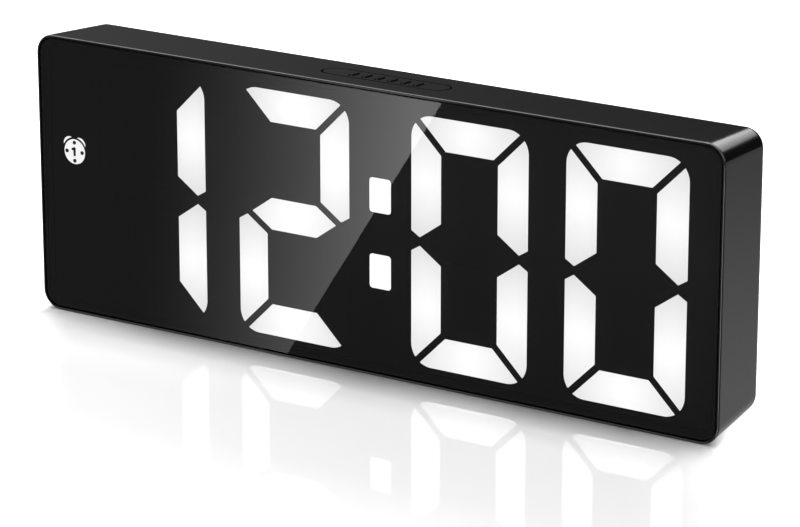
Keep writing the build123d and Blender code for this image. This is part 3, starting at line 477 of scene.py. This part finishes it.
def table_top(name):
    """White table: painted light, seen by the camera only, clears the shade beside, behind and far ahead of the
    clock and leaves it darker close in front; with a polish that fades out.
    """
    f = Finish(name)
    front_y = -0.010
    clear_beside, clear_behind, clear_ahead, least_clear = 0.95, 0.60, 0.22, 0.07

    # How far a point lies ahead of the clock, and where the viewer's line to it meets the clock's front
    x, y, _ = f.axes()
    ahead = f.minus(front_y, y)
    meets, _ = on_front(f, x, f.plus(viewer_to_middle, y))

    # Share of the mirror: only below the clock's front, strongest close to it
    inside = f.times(f.span(f.away(meets), 0.0785, 0.0825, 1.0, 0.0), f.span(ahead, -0.0005, 0.0, 0.0, 1.0))
    thinning = f.span(meets, 0.062, 0.080, 1.0, 0.45)
    far_polish = f.times(f.span(meets, -0.08, 0.0, 0.10, 0.22), f.span(ahead, 0.0, 0.095, 1.0, 0.0))
    near_polish = f.times(f.span(meets, -0.08, -0.05, 0.05, 0.45), f.span(ahead, 0.0, 0.0105, 1.0, 0.0))
    polish = f.times(inside, thinning, f.plus(far_polish, near_polish))

    # Painted light, seen by the camera only, that clears the white of shade beside, behind and far ahead of the
    # clock, and less of it close in front
    left_side = f.span(x, -0.0830, -0.0800, clear_beside, 0.0)
    right_side = f.span(meets, 0.0800, 0.0845, 0.0, clear_beside)
    beside = f.larger(left_side, right_side)
    behind = f.span(ahead, -0.035, -0.015, clear_behind, 0.0)
    corner = f.plus(f.span(meets, -0.083, -0.076, 0.14, 0.0), f.span(meets, 0.073, 0.082, 0.0, 0.30))
    left = f.times(f.plus(corner, f.span(meets, -0.08, -0.02, 0.16, 0.0)), f.span(ahead, 0.012, 0.03, 1.0, 0.3))
    near = f.times(f.span(ahead, 0.0, 0.006, 0.2, 1.0), f.plus(left, least_clear))
    front = f.plus(near, f.span(ahead, 0.05, 0.10, 0.0, clear_ahead))
    camera = f.add("ShaderNodeLightPath").outputs["Is Camera Ray"]
    clear = f.times(camera, f.larger(beside, f.larger(behind, front)))

    matt = f.add("ShaderNodeBsdfDiffuse", {"Color": grey(0.93)}).outputs[0]
    # Painted light on the table, for camera rays only, in the amount worked out above
    painted_lift = f.add("ShaderNodeEmission", {"Strength": clear}).outputs[0]
    paper = f.add("ShaderNodeAddShader", {0: matt, 1: painted_lift}).outputs[0]
    mirror = f.add("ShaderNodeBsdfGlossy", {"Color": white, "Roughness": 0.02}).outputs[0]
    return f.close(f.add("ShaderNodeMixShader", {0: polish, 1: paper, 2: mirror}).outputs[0])


# Studio

def card(name, corners, finish, seen_by_camera=False):
    """Flat sheet of the studio, seen only in reflections unless the camera sees it too."""
    mesh = bpy.data.meshes.new(name)
    shape = bmesh.new()
    shape.faces.new([shape.verts.new(corner) for corner in corners])
    shape.to_mesh(mesh)
    shape.free()
    sheet = bpy.data.objects.new(name, mesh)
    bpy.context.scene.collection.objects.link(sheet)
    mesh.materials.append(finish)
    if not seen_by_camera:
        sheet.visible_camera = False
        sheet.visible_diffuse = False
        sheet.visible_transmission = False
        sheet.visible_shadow = False
    return sheet


def level_corners(plan, z):
    """Corners of a level sheet from its outline in plan."""
    return [(x, y, z) for x, y in plan]


def level_sheet(x_span, y_span, z):
    """Corners of a level rectangle."""
    left, right = x_span
    front, back = y_span
    return level_corners([(left, front), (right, front), (right, back), (left, back)], z)


def upright_sheet(x_span, y, z_span):
    """Corners of an upright rectangle that faces the front or the back."""
    left, right = x_span
    low, high = z_span
    return [(left, y, low), (right, y, low), (right, y, high), (left, y, high)]


def set_table():
    """Table for the camera, and a second one that only the gloss of the clock sees."""
    far = (-6, 6)
    table = card("table", level_sheet(far, far, 0), table_top("table_white"), seen_by_camera=True)
    table.visible_glossy = False
    card("table_in_gloss", level_sheet(far, far, -0.0030),
         fading_glow("gloss_table", 1, 0.03, 0.19, 0.56, 0.30))


def set_low_cards():
    """Cards just under the table's level, which the front and the right side of the clock reflect."""
    flag_z, wedge_z, rim_z = -0.0020, -0.0010, -0.0008
    flags_meet_x, flags_y = 0.084, (-0.5, -0.0104)
    card("front_flag", level_sheet((-0.45, flags_meet_x), flags_y, flag_z),
         fading_glow("gloss_dark", 1, -0.12, -0.025, 0.25, 0.18))
    card("rim_strip", level_sheet((-0.090, 0.083), (-0.0141, -0.0128), rim_z), plain_glow("gloss_rim", 1.0))
    card("left_rim_strip", level_corners(
        [(-0.0819, -0.0106), (-0.0826, -0.0106), (-0.3104, -0.30), (-0.3094, -0.30)], rim_z),
        plain_glow("gloss_left_rim", 0.6))
    card("side_flag", level_sheet((flags_meet_x, 0.60), flags_y, flag_z), plain_glow("gloss_black", 0.03))
    card("side_strip", level_corners([wedge_tip, (0.030, -0.26), (0.255, -0.26)], wedge_z),
         strip_fade("gloss_side_strip"))


def set_high_cards():
    """Walls, glare and softboxes, which the edges, the window and the top of the clock reflect."""
    glare_z = -0.0010
    card("corner_wall", upright_sheet((0.00, 0.75), -0.45, (0.10, 0.60)),
         fading_glow("gloss_corner_wall", 0, 0.0, 0.36, 0.2, 4.0))
    card("glare_card", level_corners(
        [(-0.0206, -0.0115), (-0.0860, -0.0115), (-0.2500, -0.2120), (-0.1050, -0.2120)], glare_z),
        glare_glow("gloss_glare"))
    card("back_flag", upright_sheet((-0.9, 0.8), 0.5, (-0.001, 0.232)),
         fading_glow("gloss_back", 0, -0.46, -0.10, 0.128, 0.022))
    card("back_softbox", [
        (-0.20, 0.49, 0.230), (0.09, 0.49, 0.230), (0.45, 0.49, 0.150), (0.45, 0.49, 0.60),
        (-0.20, 0.49, 0.60)], fading_glow("gloss_softbox", 0, 0.00, 0.38, 3.1, 0.12))
    card("front_strip", level_sheet((-0.9, 0.3), (-0.50, -0.04), 0.45), plain_glow("gloss_front_strip", 7.0))


def hang_lamp():
    """One broad lamp above the clock and a little behind it."""
    lamp = bpy.data.lights.new("overhead_lamp", "AREA")
    lamp.shape = "RECTANGLE"
    lamp.size = 0.75
    lamp.size_y = 0.30
    lamp.energy = 6.2
    hung = bpy.data.objects.new("overhead_lamp", lamp)
    hung.location = (0.0, 0.10, 0.95)
    aim = Vector((0.0, 0.0, 0.0)) - hung.location
    hung.rotation_euler = aim.to_track_quat("-Z", "Y").to_euler()
    bpy.context.scene.collection.objects.link(hung)


def set_sky():
    """Even sky that lights the clock, in front of a plain white background."""
    sky_level = 0.42
    world = bpy.data.worlds.new("studio_sky")
    bpy.context.scene.world = world
    world.use_nodes = True
    sky = Wiring(world.node_tree)
    camera = sky.add("ShaderNodeLightPath").outputs["Is Camera Ray"]
    even = sky.add("ShaderNodeBackground", {"Color": white, "Strength": sky_level}).outputs[0]
    behind = sky.add("ShaderNodeBackground", {"Color": white, "Strength": 1.0}).outputs[0]
    choice = sky.add("ShaderNodeMixShader", {0: camera, 1: even, 2: behind}).outputs[0]
    sky.add("ShaderNodeOutputWorld", {"Surface": choice})


set_table()
set_low_cards()
set_high_cards()
hang_lamp()
set_sky()
bpy.context.scene.view_settings.view_transform = "Standard"
